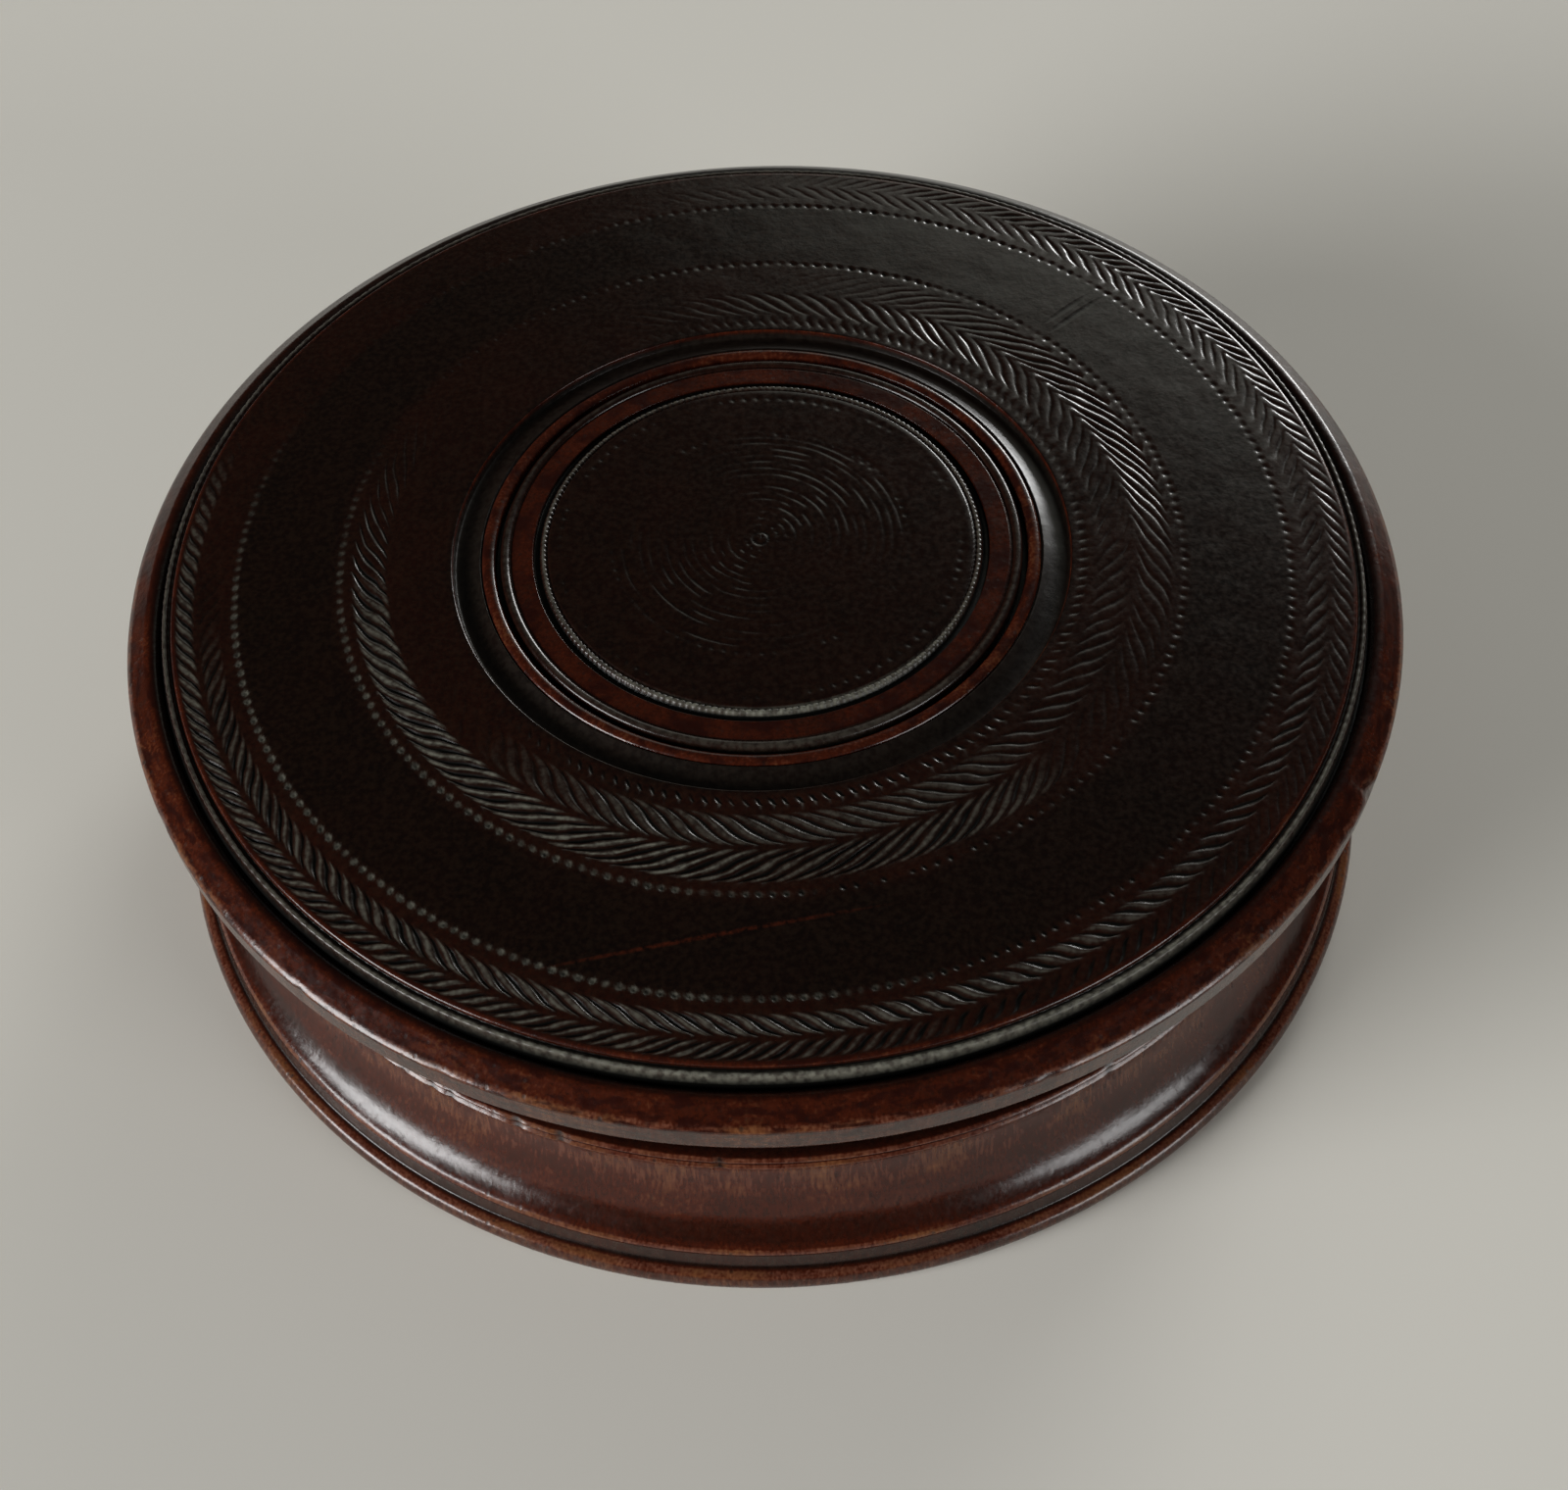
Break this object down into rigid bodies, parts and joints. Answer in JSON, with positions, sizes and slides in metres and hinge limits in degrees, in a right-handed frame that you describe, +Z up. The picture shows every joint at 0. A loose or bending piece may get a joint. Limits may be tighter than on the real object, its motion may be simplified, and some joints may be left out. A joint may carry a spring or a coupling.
{
  "type": "snuff box",
  "caption": "Round turned wooden box: a coved, hollow base with an upstanding collar, and a slightly domed, rouletted push-fit lid that lifts straight off.",
  "frame": {"origin": "on the surface that the box stands on, under the centre of the base", "axes": "+Z up along the turning axis, out of the lid; -Y towards the picture's camera; +X to its right"},
  "size_m": [0.09, 0.09, 0.0265],
  "materials": {
    "base_wood": "dark stained and hand polished, worn red-brown on the proud edges",
    "lid_wood": "near-black stained and waxed top with a red-brown worn rim"
  },
  "bodies": {
    "base": {"base": "base_wood"},
    "lid": {"lid": "lid_wood"}
  },
  "joints": [
    {"name": "lid_lift", "type": "slide", "parent": "base", "child": "lid", "axis": [0, 0, 1], "range_m": [0, 0.04]}
  ]
}
